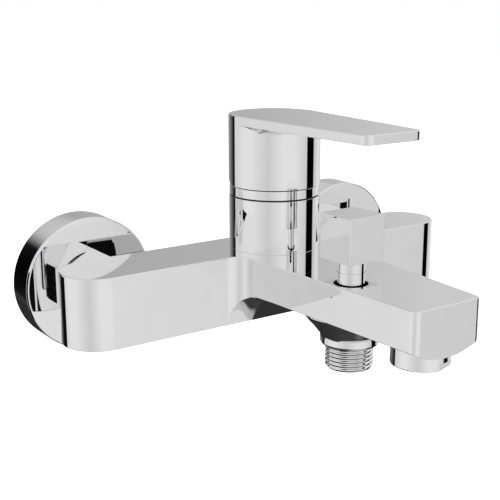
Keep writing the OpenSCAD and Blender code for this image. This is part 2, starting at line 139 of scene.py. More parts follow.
def noise_ramp(material, socket, scale, stops, detail=4.0, stretch=(1, 1, 1)):
    """Drives a shader socket by object-space noise through a colour ramp of (place, grey or colour) stops."""
    nodes, links = material.node_tree.nodes, material.node_tree.links
    place = nodes.new("ShaderNodeTexCoord")
    mapping = nodes.new("ShaderNodeMapping")
    mapping.inputs["Scale"].default_value = stretch
    noise = nodes.new("ShaderNodeTexNoise")
    noise.inputs["Scale"].default_value = scale
    noise.inputs["Detail"].default_value = detail
    ramp = nodes.new("ShaderNodeValToRGB")
    while len(ramp.color_ramp.elements) < len(stops):
        ramp.color_ramp.elements.new(0.5)
    for element, (at, value) in zip(ramp.color_ramp.elements, stops):
        element.position = at
        rgb = value if isinstance(value, tuple) else (value, value, value)
        element.color = (*rgb, 1)
    links.new(place.outputs["Object"], mapping.inputs["Vector"])
    links.new(mapping.outputs["Vector"], noise.inputs["Vector"])
    links.new(noise.outputs["Fac"], ramp.inputs["Fac"])
    links.new(ramp.outputs["Color"], socket)
    return noise


def add_bump(material, shader, noise, strength, distance):
    """Fine surface relief from a noise node."""
    nodes, links = material.node_tree.nodes, material.node_tree.links
    bump = nodes.new("ShaderNodeBump")
    bump.inputs["Strength"].default_value = strength
    bump.inputs["Distance"].default_value = distance
    links.new(noise.outputs["Fac"], bump.inputs["Height"])
    links.new(bump.outputs["Normal"], shader.inputs["Normal"])


def chrome_plate():
    material, shader = node_material("chrome_plate", 1.0)
    greys = [(0.3, (0.925, 0.925, 0.928)), (0.7, (0.95, 0.95, 0.953))]
    noise_ramp(material, shader.inputs["Base Color"], 90, greys)
    noise_ramp(material, shader.inputs["Roughness"], 45, [(0.35, 0.012), (0.75, 0.03)])
    return material


def brass():
    material, shader = node_material("machined_brass", 1.0)
    yellows = [(0.3, (0.66, 0.49, 0.24)), (0.7, (0.82, 0.66, 0.38))]
    noise_ramp(material, shader.inputs["Base Color"], 260, yellows)
    gloss = [(0.3, 0.22), (0.7, 0.4)]
    lines = noise_ramp(material, shader.inputs["Roughness"], 900, gloss, stretch=(1, 1, 8))
    add_bump(material, shader, lines, 0.15, 0.00005)
    return material


def rubber():
    material, shader = node_material("black_rubber", 0.0, 0.3)
    noise_ramp(material, shader.inputs["Base Color"], 400, [(0.3, 0.012), (0.7, 0.03)])
    grain = noise_ramp(material, shader.inputs["Roughness"], 1200, [(0.3, 0.6), (0.7, 0.85)])
    add_bump(material, shader, grain, 0.2, 0.00004)
    return material


def fibre():
    material, shader = node_material("pressed_fibre", 0.0, 0.3)
    noise_ramp(material, shader.inputs["Base Color"], 1500, [(0.35, 0.1), (0.65, 0.24)], stretch=(1, 4, 1))
    grain = noise_ramp(material, shader.inputs["Roughness"], 900, [(0.3, 0.75), (0.7, 0.95)])
    add_bump(material, shader, grain, 0.4, 0.00008)
    return material


def plastic(name, low, high):
    material, shader = node_material(name, 0.0, 0.45)
    noise_ramp(material, shader.inputs["Base Color"], 180, [(0.3, low), (0.7, high)])
    grain = noise_ramp(material, shader.inputs["Roughness"], 1600, [(0.3, 0.35), (0.7, 0.52)])
    add_bump(material, shader, grain, 0.15, 0.00003)
    return material


def ceramic():
    material, shader = node_material("lapped_ceramic", 0.0, 0.6)
    whites = [(0.3, (0.86, 0.84, 0.8)), (0.7, (0.93, 0.91, 0.87))]
    noise_ramp(material, shader.inputs["Base Color"], 300, whites)
    noise_ramp(material, shader.inputs["Roughness"], 120, [(0.3, 0.06), (0.7, 0.14)])
    return material


def steel(name, low, high, rough_low, rough_high):
    material, shader = node_material(name, 1.0)
    noise_ramp(material, shader.inputs["Base Color"], 300, [(0.3, low), (0.7, high)])
    gloss = [(0.3, rough_low), (0.7, rough_high)]
    lines = noise_ramp(material, shader.inputs["Roughness"], 700, gloss, stretch=(1, 1, 6))
    add_bump(material, shader, lines, 0.1, 0.00004)
    return material


CHROME = chrome_plate()
FINISHES = {
    "chrome": CHROME,
    "brass": brass(),
    "rubber": rubber(),
    "fibre": fibre(),
    "cartridge_plastic": plastic("offwhite_plastic", (0.7, 0.69, 0.65), (0.8, 0.79, 0.75)),
    "guide_plastic": plastic("grey_plastic", (0.24, 0.25, 0.26), (0.32, 0.33, 0.34)),
    "ceramic": ceramic(),
    "steel": steel("stainless", 0.5, 0.66, 0.2, 0.35),
    "screw_steel": steel("black_oxide", 0.03, 0.07, 0.35, 0.55),
    "aerator_plastic": plastic("light_grey_plastic", (0.46, 0.47, 0.48), (0.56, 0.57, 0.58)),
}
for part in frame["record"]["subparts"]:
    mesh = frame["nodes"][part["node"]].data
    mesh.materials.clear()
    mesh.materials.append(FINISHES[part["material_slot"]])

# inner pieces of the spout, like its outlets, stay out of the mirror images on the bar
for part in frame["record"]["subparts"]:
    low, high = box_mm(part["node"])
    if high.y < DIVERTER_Y + 14 and high.z < KNOB_LOW.z + 22:
        frame["nodes"][part["node"]].visible_glossy = False

# ---- Mesh helpers --------------------------------------------------------------------------


def arc(centre, r, start, end, steps):
    """Points along an arc between two angles in degrees."""
    angles = [math.radians(start + (end - start) * i / steps) for i in range(steps + 1)]
    return [(centre[0] + r * math.cos(a), centre[1] + r * math.sin(a)) for a in angles]


def eased(points, radii, steps=5):
    """A polyline with each inner corner rounded to its radius; 0 keeps the corner sharp."""
    out = [points[0]]
    for i in range(1, len(points) - 1):
        here, r = Vector(points[i]), radii[i - 1]
        before, after = (Vector(points[i - 1]) - here), (Vector(points[i + 1]) - here)
        if r <= 0:
            out.append(tuple(here))
            continue
        turn = before.angle(after)
        back = min(r / math.tan(turn / 2), 0.49 * before.length, 0.49 * after.length)
        a, b = here + before.normalized() * back, here + after.normalized() * back
        for k in range(steps + 1):
            t = k / steps
            out.append(tuple(a.lerp(here, t).lerp(here.lerp(b, t), t)))
    return out + [points[-1]]


def make_piece(name, verts, faces, body, nodes, crease=30):
    """A chrome piece from vertices in millimetres, with soft shading up to the crease angle."""
    mesh = bpy.data.meshes.new(name)
    mesh.from_pydata([Vector(v) * MM for v in verts], [], faces)
    piece = bpy.data.objects.new(name, mesh)
    bpy.context.scene.collection.objects.link(piece)
    return finish_piece(piece, body, nodes, crease)


def finish_piece(piece, body, nodes, crease=30):
    """Cleans and shades a piece and hands it to its CAD body, in place of its CAD nodes."""
    mesh = piece.data
    shape = bmesh.new()
    shape.from_mesh(mesh)
    bmesh.ops.remove_doubles(shape, verts=shape.verts, dist=1e-7)
    bmesh.ops.dissolve_degenerate(shape, edges=shape.edges, dist=1e-7)
    bmesh.ops.recalc_face_normals(shape, faces=shape.faces)
    shape.to_mesh(mesh)
    shape.free()
    mesh.materials.clear()
    mesh.materials.append(CHROME)
    mesh.shade_smooth()
    mesh.set_sharp_from_angle(angle=math.radians(crease))
    weights = piece.modifiers.new("weighted_normals", "WEIGHTED_NORMAL")
    weights.keep_sharp = True
    weights.weight = 50
    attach(piece, body)
    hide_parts(*nodes)
    return piece


def lathe(profile, steps, place, closed=True):
    """Vertices and faces of an (r, height) profile turned about Z; place puts each point where it belongs."""
    verts, faces, rings = [], [], []
    for r, h in profile:
        if r < 1e-6:
            rings.append([len(verts)] * steps)
            verts.append(place(0, 0, h))
        else:
            rings.append(list(range(len(verts), len(verts) + steps)))
            angles = [TURN * i / steps for i in range(steps)]
            verts += [place(r * math.cos(a), r * math.sin(a), h) for a in angles]
    pairs = list(zip(rings, rings[1:])) + ([(rings[-1], rings[0])] if closed else [])
    for a, b in pairs:
        for i in range(steps):
            j = (i + 1) % steps
            corners = list(dict.fromkeys([a[i], a[j], b[j], b[i]]))
            if len(corners) > 2:
                faces.append(corners)
    return verts, faces


def upright(x, y):
    """Puts a lathe's axis upright at (x, y)."""
    return lambda u, v, h: (x + u, y + v, h)


def out_of_wall(x, z):
    """Puts a lathe's axis at (x, z), with heights running out of the wall."""
    return lambda u, v, h: (x + u, -h, z + v)


def join(*shells):
    """Several (vertices, faces) shells as one."""
    verts, faces = [], []
    for shell_verts, shell_faces in shells:
        start = len(verts)
        verts += list(shell_verts)
        faces += [[i + start for i in face] for face in shell_faces]
    return verts, faces


def scratch(name, shell):
    """A mesh object that only serves a boolean."""
    mesh = bpy.data.meshes.new(name)
    mesh.from_pydata([Vector(v) * MM for v in shell[0]], [], shell[1])
    shape = bmesh.new()
    shape.from_mesh(mesh)
    bmesh.ops.remove_doubles(shape, verts=shape.verts, dist=1e-7)
    bmesh.ops.recalc_face_normals(shape, faces=shape.faces)
    shape.to_mesh(mesh)
    shape.free()
    piece = bpy.data.objects.new(name, mesh)
    bpy.context.scene.collection.objects.link(piece)
    return piece


def combine(base, *steps):
    """Applies (operation, tool) booleans to a scratch object in turn and removes the tools."""
    for operation, tool in steps:
        boolean = base.modifiers.new("cut", "BOOLEAN")
        boolean.operation = operation
        boolean.solver = "EXACT"
        boolean.object = tool
        result = bpy.data.meshes.new_from_object(base.evaluated_get(bpy.context.evaluated_depsgraph_get()))
        base.modifiers.clear()
        base.data = result
        bpy.data.objects.remove(tool)
    return base


def rod(r, low, high, x, y, steps=96):
    """A scratch cylinder for cutting an upright bore."""
    profile = [(0, low), (r, low), (r, high), (0, high)]
    return scratch("rod", lathe(profile, steps, upright(x, y), closed=False))


# ---- Bar and spout -------------------------------------------------------------------------


def spout_half(y):
    """Half the spout's width, which grows from the tip to the root."""
    return SPOUT_TIP_HALF + SPOUT_FLARE * (y - SPOUT_TIP)


def smooth_low(a, b, reach):
    """The lower of two heights, blended where they come within reach of each other."""
    h = max(reach - abs(a - b), 0) / reach
    return min(a, b) - h * h * reach / 4


def under_spout(x, y):
    """Height of the spout's underside: a round belly that runs down the arch into the bar."""
    half = spout_half(y)
    depth = BELLY_DEPTH * half / SPOUT_TIP_HALF
    r = (half**2 + depth**2) / (2 * depth)
    belly = SPOUT_EDGE - (math.sqrt(max(r * r - x * x, 0)) - (r - depth))
    ahead = BAR_FRONT - y
    if ahead >= ARCH_LENGTH:
        return belly
    foot = min(ARCH_FOOT, 20 * max(ahead, 0))
    side = BAR_BOTTOM + foot + math.sqrt(ARCH_R**2 - max(ARCH_R - ahead, 0) ** 2)
    middle = BAR_BOTTOM + ARCH_RISE * (1 - (1 - min(ahead / ARCH_LENGTH, 1)) ** 2)
    t = min(max((abs(x) - half + 6) / 8, 0), 1)
    arch = middle + (side - middle) * t * t * (3 - 2 * t)
    return max(smooth_low(belly, arch, 1.2), BAR_BOTTOM)


def body_outline():
    """Right half of the plan, from the spout's tip to the middle of the bar's back, as (x, y, is_spout)."""
    taper = math.degrees(math.atan(SPOUT_FLARE))
    fillet_y = BAR_FRONT - ROOT_FILLET_R
    fillet_x = spout_half(fillet_y) + ROOT_FILLET_R / math.cos(math.radians(taper))
    corner_y = SPOUT_TIP + SPOUT_CORNER_R
    corner_x = spout_half(corner_y) - SPOUT_CORNER_R / math.cos(math.radians(taper))
    corner = arc((corner_x, corner_y), SPOUT_CORNER_R, -90, -taper, 10)
    fillet = arc((fillet_x, fillet_y), ROOT_FILLET_R, 180 - taper, 90, 24)
    rows = 150
    side_start, side_end = corner[-1][1], fillet[0][1]
    side = []
    for i in range(1, rows):
        y = side_start + (side_end - side_start) * i / rows
        side.append((spout_half(y), y))
    spout = [(p[0], p[1], True) for p in corner + side + fillet]
    front = [(fillet_x + (BAR_END_X - fillet_x) * i / 12, BAR_FRONT, False) for i in range(1, 12)]
    end = [(x, y, False) for x, y in arc((BAR_END_X, BAR_FRONT + BAR_END_R), BAR_END_R, -90, 90, 64)]
    back = [(BAR_END_X * (1 - i / 12), BAR_BACK, False) for i in range(1, 12)]
    return spout + front + end + back


def inward(points):
    """Unit normals into a closed outline that runs anticlockwise."""
    normals = []
    for i in range(len(points)):
        before, after = Vector(points[i - 1]), Vector(points[(i + 1) % len(points)])
        along = (after - before).normalized()
        normals.append(Vector((-along.y, along.x)))
    return normals


def rim(points, normals, radii, edge, side, steps, rings, verts):
    """Adds rings that round an outline over from wall to face: side is 1 for a top, -1 for a bottom."""
    for k in range(steps + 1):
        a = math.pi / 2 * k / steps
        ring = []
        for (x, y), n, r in zip(points, normals, radii):
            inset = r * (1 - math.cos(a))
            ring.append(len(verts))
            verts.append((x + n.x * inset, y + n.y * inset, edge - side * r * (1 - math.sin(a))))
        rings.append(ring)


def bar_and_spout():
    """Bar and spout as one closed shell."""
    half = body_outline()
    mirrored = [(-x, y, spout) for x, y, spout in reversed(half)]
    outline = half + mirrored
    points = [(x, y) for x, y, _ in outline]
    normals = inward(points)
    count = len(outline)
    verts, faces = [], []

    # top face with its rounded rim
    rings = []
    rim(points, normals, [RIM_R] * count, BAR_TOP, 1, 5, rings, verts)
    top_wall = rings[0]
    for a, b in zip(rings, rings[1:]):
        faces += [[a[i], a[(i + 1) % count], b[(i + 1) % count], b[i]] for i in range(count)]
    faces.append(list(rings[-1]))

    # lower edge: the bar's rounded rim, or the spout's edge where it turns under into the belly
    spout_rows = sum(1 for p in half if p[2])
    ease = 4
    lower = [[] for _ in range(count)]
    for i, (x, y, spout) in enumerate(outline):
        n = normals[i]
        if spout:
            fade = min(max((BAR_FRONT - y) / ARCH_R, 0), 1)
            r = BELLY_EDGE_R * fade
            inner = (x + n.x * r, y + n.y * r)
            corner = Vector((x, y, under_spout(x, y)))
            start = corner + Vector((0, 0, r))
            end = Vector((*inner, under_spout(*inner)))
        else:
            past = abs(x) - abs(half[spout_rows - 1][0]) if y < BAR_FRONT + 0.01 else 99
            r = LOWER_RIM_R * min(max(past / 4, 0), 1)
            corner = Vector((x, y, BAR_BOTTOM))
            start = corner + Vector((0, 0, r))
            end = Vector((x + n.x * r, y + n.y * r, BAR_BOTTOM))
        for k in range(ease + 1):
            t = k / ease
            lower[i].append(len(verts))
            verts.append(start.lerp(corner, t).lerp(corner.lerp(end, t), t))
    for i in range(count):
        j = (i + 1) % count
        if i == count - 1:
            continue
        faces.append([top_wall[i], lower[i][0], lower[j][0], top_wall[j]])
        for k in range(ease):
            faces.append([lower[i][k], lower[i][k + 1], lower[j][k + 1], lower[j][k]])

    # underside of the spout, row by row between matching points of its two sides
    columns = 48
    grid = []
    for i in range(spout_rows):
        left, right = lower[count - 1 - i][-1], lower[i][-1]
        xl, xr = verts[left][0], verts[right][0]
        y = verts[right][1]
        row = [left]
        for c in range(1, columns):
            x = xl + (xr - xl) * c / columns
            row.append(len(verts))
            verts.append((x, y, under_spout(x, y)))
        grid.append(row + [right])
    for a, b in zip(grid, grid[1:]):
        faces += [[a[c], a[c + 1], b[c + 1], b[c]] for c in range(columns)]

    # front of the tip, and its lower edge rounded under
    tip_left, tip_right = verts[top_wall[count - 1]][0], verts[top_wall[0]][0]
    tip_lower = [[] for _ in range(columns + 1)]
    for c in range(columns + 1):
        x = verts[grid[0][c]][0]
        wall_x = tip_left + (tip_right - tip_left) * c / columns
        if c in (0, columns):
            tip_lower[c] = lower[count - 1] if c == 0 else lower[0]
            continue
        corner = Vector((wall_x, SPOUT_TIP, under_spout(wall_x, SPOUT_TIP)))
        end = Vector(verts[grid[0][c]])
        start = corner + Vector((0, 0, BELLY_EDGE_R))
        for k in range(ease):
            t = k / ease
            tip_lower[c].append(len(verts))
            verts.append(start.lerp(corner, t).lerp(corner.lerp(end, t), t))
        tip_lower[c].append(grid[0][c])
    for c in range(columns):
        for k in range(ease):
            faces.append([tip_lower[c][k], tip_lower[c + 1][k], tip_lower[c + 1][k + 1], tip_lower[c][k + 1]])
    faces.append([top_wall[0], top_wall[count - 1]] + [tip_lower[c][0] for c in range(columns + 1)])

    # bottom of the bar, from the foot of the arch round the bar
    bottom = [lower[i][-1] for i in range(spout_rows, count - spout_rows)]
    faces.append(bottom + list(grid[-1]))
    return verts, faces


def boss_profile():
    """Flared neck that grows out of the belly and ends in the collar of the shower outlet."""
    neck = [
        (FLARE_R, 2), (FLARE_R, -1.4), (18.3, -4.3), (16.1, -6.6), (14.3, -9), (13.0, -10.7), (BOSS_R, -11.6),
        (BOSS_R, -14.2), (BOSS_R - 0.7, BOSS_BOTTOM + 0.4), (BOSS_R - 1.6, BOSS_BOTTOM),
    ]
    return eased(neck, [1, 5, 6, 6, 6, 6, 0, 0.6]) + [(0, BOSS_BOTTOM), (0, 2)]


def boss_shell():
    """The flared neck, drawn in sideways so that its wide top stays within the spout."""
    verts, faces = lathe(boss_profile(), 128, upright(0, 0), closed=False)
    shaped = []
    for x, y, z in verts:
        r = math.hypot(x, y)
        if r > BOSS_R:
            reach = min(FLARE_R, (spout_half(DIVERTER_Y + y) - 0.7) * r / max(abs(x), 1e-6))
            narrow = (BOSS_R + (r - BOSS_R) * (reach - BOSS_R) / (FLARE_R - BOSS_R)) / r
            x, y = x * narrow, y * narrow
        shaped.append((x, DIVERTER_Y + y, z))
    return shaped, faces


def make_body():
    """The casting, with its boss as a piece of its own."""
    body = scratch("body", bar_and_spout())
    boss = scratch("shower_boss", boss_shell())
    combine(
        body,
        ("DIFFERENCE", rod(NECK_R + 0.12, 4.4, BAR_TOP + 2, 0, DIVERTER_Y, 64)),
        ("DIFFERENCE", rod(AERATOR_R + 0.1, -12, -1.5, 0, AERATOR_Y)),
    )
    combine(
        boss,
        ("DIFFERENCE", rod(G_HALF_R, BOSS_BOTTOM - 1, -9.4, 0, DIVERTER_Y)),
        ("DIFFERENCE", rod(8.5, -9.5, 2.6, 0, DIVERTER_Y)),
    )
    boss.visible_glossy = False
    finish_piece(boss, "root", ["body"], 24)
    return finish_piece(body, "root", ["body"], 24)


make_body()

# ---- Column and lever ----------------------------------------------------------------------


def sleeve():
    """Plain tube round the column."""
    low, high, inner = SLEEVE_LOW.z, SLEEVE_HIGH.z, COLUMN_R - 1.4
    corners = [
        (inner, low + 1), (inner, low), (COLUMN_R, low), (COLUMN_R, high), (inner, high), (inner, high - 1),
    ]
    verts, faces = lathe(eased(corners, [0, 0.15, 0.15, 0]), 160, upright(0, COLUMN_Y))
    return make_piece("sleeve", verts, faces, "root", ["cover_sleeve"])


sleeve()


def dome():
    """Ring under the lever's hub: an upright band below, a ball zone above that the hub tilts over."""
    band_r, band_top = COLUMN_R - 0.15, 45.3
    start = math.degrees(math.asin((band_top + 0.5 - PIVOT_Z) / DOME_R))
    end = math.degrees(math.acos(DOME_MOUTH_R / DOME_R))
    outer = arc((0, PIVOT_Z), DOME_R, start, end, 24)
    inner = arc((0, PIVOT_Z), DOME_R - 1.2, math.degrees(math.acos(DOME_MOUTH_R / (DOME_R - 1.2))), 20, 16)
    wall = inner[-1][0]
    band = [(band_r - 0.12, DOME_BASE), (band_r, DOME_BASE + 0.12), (band_r, band_top)]
    verts, faces = lathe(band + outer + inner + [(wall, DOME_BASE)], 160, upright(0, COLUMN_Y))
    return make_piece("dome", verts, faces, "root", ["dome_ring"])


dome()

HUB_R = 21.1
HUB_BASE = HANDLE_LOW.z
HUB_CAVITY_R = 17.5
HUB_CAVITY_TOP = 60
PLATE_THICKNESS = 4.2
LEVER_TOP = HANDLE_HIGH.z
LEVER_TIP = HANDLE_LOW.y
LEVER_TIP_HALF = 15.25
LEVER_CORNER_R = 4.2
LEVER_RIM_R = 0.7
HUB_EDGE_R = 0.14
HUB_FILLET_R = 3.5
HUB_BALL_R = 22.6
PLATE_EDGE_R = 0.5


def lever_outline():
    """Right half of the lever's plan from the middle of its tip to the back of the hub, as (x, y, is_hub)."""
    corner_y, corner_x = LEVER_TIP + LEVER_CORNER_R, LEVER_TIP_HALF - LEVER_CORNER_R
    length = COLUMN_Y - corner_y
    lean = math.degrees(math.asin((HUB_R - LEVER_TIP_HALF) / length))
    shift = LEVER_CORNER_R / math.cos(math.radians(lean)) - LEVER_CORNER_R
    corner = arc((corner_x - shift, corner_y), LEVER_CORNER_R, -90, -lean, 12)
    hub = arc((0, COLUMN_Y), HUB_R, -lean, 90, 72)
    (x0, y0), (x1, y1) = corner[-1], hub[0]
    side = [(x0 + (x1 - x0) * i / 24, y0 + (y1 - y0) * i / 24) for i in range(1, 24)]
    return [(x, y, False) for x, y in corner + side] + [(x, y, True) for x, y in hub]


def hub_bottom(x, y):
    """Lower edge of the hub, which is cut away at the back so that the lever can tilt."""
    back = max((y - COLUMN_Y) / HUB_R, 0)
    return HUB_BASE + 5.0 * back**1.5


def lever():
    """Plate and hub as one shell; the hub's back shares the points of the plate's outline."""
    half = lever_outline()[:-1]
    outline = half + [(0, COLUMN_Y + HUB_R, True)] + [(-x, y, hub) for x, y, hub in reversed(half)]
    points = [(x, y) for x, y, _ in outline]
    normals = inward(points)
    count = len(outline)
    verts, faces, rings = [], [], []
    rim(points, normals, [LEVER_RIM_R] * count, LEVER_TOP, 1, 5, rings, verts)
    wall = rings[0]
    for a, b in zip(rings, rings[1:]):
        faces += [[a[i], a[(i + 1) % count], b[(i + 1) % count], b[i]] for i in range(count)]
    faces.append(list(rings[-1]))

    # sides of the plate, with a lower edge that is rounded less and less towards the hub
    hub_ids = [i for i in range(count) if outline[i][2]]
    first, last = hub_ids[0], hub_ids[-1]
    tangent_y = outline[first][1]
    plate_base = LEVER_TOP - PLATE_THICKNESS
    plate_rings = []
    radii = [0 if hub else PLATE_EDGE_R * min((tangent_y - y) / 25, 1) for _, y, hub in outline]
    rim(points, normals, radii, plate_base, -1, 2, plate_rings, verts)
    for i in range(count):
        j = (i + 1) % count
        faces.append([wall[i], plate_rings[0][i], plate_rings[0][j], wall[j]])
        if outline[i][2] and outline[j][2]:
            continue
        for a, b in zip(plate_rings, plate_rings[1:]):
            faces.append([a[i], a[j], b[j], b[i]])

    # hub below the plate, with a hollow fillet where it stands free of the plate's sides
    start = math.atan2(outline[last][1] - COLUMN_Y, outline[last][0])
    finish = math.atan2(outline[first][1] - COLUMN_Y, outline[first][0])
    front = [start + (finish - start) * k / 96 for k in range(1, 96)]
    lean = Vector((outline[first][0], outline[first][1] - COLUMN_Y)).normalized()
    circle = [(points[i][0], points[i][1] - COLUMN_Y) for i in hub_ids]
    circle += [(HUB_R * math.cos(a), HUB_R * math.sin(a)) for a in front]
    reach = [0] * len(hub_ids)
    for a in front:
        free = HUB_R / max(abs(math.cos(a)) * lean.x + math.sin(a) * lean.y, 0.5) - HUB_R
        reach.append(min(HUB_FILLET_R, 0.92 * free))
    total = len(circle)
    levels = []
    for k in range(7):
        a = math.pi / 2 * k / 6
        level = []
        for i, (x, y) in enumerate(circle):
            if i < len(hub_ids):
                level.append(plate_rings[0][hub_ids[i]])
                continue
            scale = 1 + reach[i] * (1 - math.sin(a)) / HUB_R
            level.append(len(verts))
            verts.append((x * scale, COLUMN_Y + y * scale, plate_base - reach[i] * (1 - math.cos(a))))
        levels.append(level)
    plate_edge, top_level = plate_rings[-1], levels[0]
    hub_front = [top_level[0]] + list(reversed(top_level[len(hub_ids):])) + [top_level[len(hub_ids) - 1]]
    faces.append(plate_edge[:first] + hub_front + plate_edge[last + 1:])

    # lower edge of the hub, its underside shaped as a ball zone, and its cavity
    below = [(HUB_R, plate_base - HUB_FILLET_R - 0.5), (HUB_R, HUB_EDGE_R), (HUB_R - 0.04, 0.04)]
    below += [(HUB_R - HUB_EDGE_R, 0), (20.4, None), (19.6, None), (18.6, None)]
    below += [(HUB_CAVITY_R, None), (HUB_CAVITY_R, HUB_CAVITY_TOP)]
    for r, rise in below:
        level = []
        for x, y in circle:
            edge = hub_bottom(x, COLUMN_Y + y)
            ball = PIVOT_Z + math.sqrt(HUB_BALL_R**2 - r * r)
            z = max(edge, ball) if rise is None else (rise if rise > 5 else edge + rise)
            level.append(len(verts))
            verts.append((x * r / HUB_R, COLUMN_Y + y * r / HUB_R, z))
        levels.append(level)
    for a, b in zip(levels, levels[1:]):
        for i in range(total):
            corners = list(dict.fromkeys([a[i], b[i], b[(i + 1) % total], a[(i + 1) % total]]))
            if len(corners) > 2:
                faces.append(corners)
    faces.append(list(levels[-1]))
    return verts, faces


handle = make_piece("lever_and_hub", *lever(), "lever", ["handle"], 24)

# the plate's flat underside keeps a crisp outline, so that it doesn't pull at the shading of the hub
sharp_keys = set()
for face in handle.data.polygons:
    if face.area > 5e-4 and face.normal.z < -0.99:
        sharp_keys.update(face.edge_keys)
for edge in handle.data.edges:
    if edge.key in sharp_keys:
        edge.use_edge_sharp = True

# ---- Diverter knob and neck ----------------------------------------------------------------

KNOB_BORE_R = 7.5
KNOB_BORE_TOP = 32
KNOB_SIZE = 19.1
KNOB_TURN = 2
KNOB_EDGE = 0.25
NECK_TOP = 31


def rounded_box(low, high, r, steps=3):
    """Shell of a box with rounded edges."""
    shape = bmesh.new()
    bmesh.ops.create_cube(shape, size=1)
    size, middle = high - low, (high + low) / 2
    for v in shape.verts:
        v.co = Vector((v.co.x * size.x, v.co.y * size.y, v.co.z * size.z)) + middle
    bmesh.ops.bevel(shape, geom=shape.edges[:], offset=r, segments=steps, profile=0.5, affect="EDGES")
    shape.verts.index_update()
    verts = [v.co.copy() for v in shape.verts]
    faces = [[v.index for v in f.verts] for f in shape.faces]
    shape.free()
    return verts, faces


def knob():
    """Cube with a bore that hides the top of the neck."""
    half = KNOB_SIZE / 2
    low, high = Vector((-half, -half, KNOB_LOW.z)), Vector((half, half, KNOB_HIGH.z))
    verts, faces = rounded_box(low, high, KNOB_EDGE)
    turn = Euler((0, 0, math.radians(KNOB_TURN))).to_matrix()
    shell = [turn @ v + Vector((0, DIVERTER_Y, 0)) for v in verts], faces
    block = scratch("knob", shell)
    combine(block, ("DIFFERENCE", rod(KNOB_BORE_R, KNOB_LOW.z - 1, KNOB_BORE_TOP, 0, DIVERTER_Y)))
    return finish_piece(block, "knob", ["diverter_knob"])


knob()

neck_profile = eased([(4.05, 7.6), (NECK_R, 7.6), (NECK_R, NECK_TOP), (4.05, NECK_TOP)], [0.2, 0.3])
make_piece("neck", *lathe(neck_profile, 96, upright(0, DIVERTER_Y)), "root", ["diverter_neck"])

# ---- Shower outlet thread ------------------------------------------------------------------


def thread(r, pitch, low, high, place, chamfer=0.9, steps=96):
    """A male thread with rounded crests and roots as one helical skin, cut back at its free end."""
    depth = 0.45 * pitch
    shape = [(k / 12, (1 - math.cos(TURN * k / 12)) / 2) for k in range(12)]
    turns = int((high - low) / pitch) + 3
    verts, faces, rows = [], [], []
    for k in range(turns):
        for at, lift in shape:
            row = []
            for i in range(steps + 1):
                z = low + (k - 1.5 + at + i / steps) * pitch
                z = min(max(z, low), high)
                edge = r - max(chamfer - (z - low), 0) * 0.9 - max(0.5 - (high - z), 0) * 1.2
                radius = min(r - depth + depth * lift, edge)
                a = TURN * i / steps
                row.append(len(verts))
                verts.append(place(radius * math.cos(a), radius * math.sin(a), z))
            rows.append(row)
    for a, b in zip(rows, rows[1:]):
        faces += [[a[i], a[i + 1], b[i + 1], b[i]] for i in range(steps)]
    return verts, faces


NIPPLE_BORE_R = 7.6
NIPPLE_NECK_R = 9.9
NIPPLE_TOP = -11.4


def make_nipple():
    """Threaded pipe with its bore, open at both ends."""
    skin = thread(G_HALF_R, G_HALF_PITCH, NIPPLE_LOW.z, THREAD_TOP, upright(0, DIVERTER_Y))
    end_r = G_HALF_R - 0.9 * 0.9
    bore = [
        (end_r, NIPPLE_LOW.z), (NIPPLE_BORE_R, NIPPLE_LOW.z), (NIPPLE_BORE_R, NIPPLE_TOP),
        (NIPPLE_NECK_R, NIPPLE_TOP), (NIPPLE_NECK_R, THREAD_TOP),
    ]
    inner = lathe(eased(bore, [0.2, 0, 0]), 96, upright(0, DIVERTER_Y), closed=False)
    nipple = make_piece("shower_thread", *join(skin, inner), "root", ["shower_nipple"], 35)
    nipple.visible_glossy = False
    return nipple


make_nipple()

# ---- Aerator -------------------------------------------------------------------------------


def aerator():
    """Housing with a plain neck above, in place of its threaded neck, and two flats for a spanner."""
    low, high = AERATOR_LOW.z, -1.6
    mouth_r, neck_r, bore_r, neck_top = 8.9, 10.9, 9.6, 2.5
    corners = [
        (mouth_r, low + 1), (mouth_r, low), (AERATOR_R, low), (AERATOR_R, high), (neck_r, high),
        (neck_r, neck_top), (bore_r, neck_top), (bore_r, low + 1),
    ]
    profile = eased(corners, [0.2, 0.5, 0.2, 0, 0, 0])
    shell = scratch("aerator", lathe(profile, 128, upright(0, AERATOR_Y)))
    inner_corner = Vector((-6, -AERATOR_R - 3.9, low - 1))
    outer_corner = Vector((6, -AERATOR_R + 1.1, low + 3))
    for turn in (18, 198):
        verts, faces = rounded_box(inner_corner, outer_corner, 0.15)
        spin = Euler((0, 0, math.radians(turn))).to_matrix()
        flat = scratch("flat", ([spin @ v + Vector((0, AERATOR_Y, 0)) for v in verts], faces))
        combine(shell, ("DIFFERENCE", flat))
    shell.visible_glossy = False
    return finish_piece(shell, "root", ["aerator_housing"], 24)


aerator()

# ---- Wall connections ----------------------------------------------------------------------


def flange(side, name):
    """Cup with a flat face and a thin rounded rim."""
    depth = -FLANGE_LOW.y
    rim_r = FLANGE_HIGH.x - INLET_X
    mouth = G_THREE_QUARTER_R + 0.08
    corners = [
        (rim_r - 1.3, 0), (rim_r, 0), (rim_r - 0.06, depth), (mouth, depth), (mouth, depth - 1.5),
        (rim_r - 2.3, depth - 1.6), (rim_r - 1.3, 0),
    ]
    profile = eased(corners, [0.25, 1.1, 0.2, 0.2, 1.5])
    verts, faces = lathe(profile[:-1], 192, out_of_wall(side * INLET_X, 0))
    return make_piece("flange_" + name, verts, faces, "root", ["wall_flange_" + name])


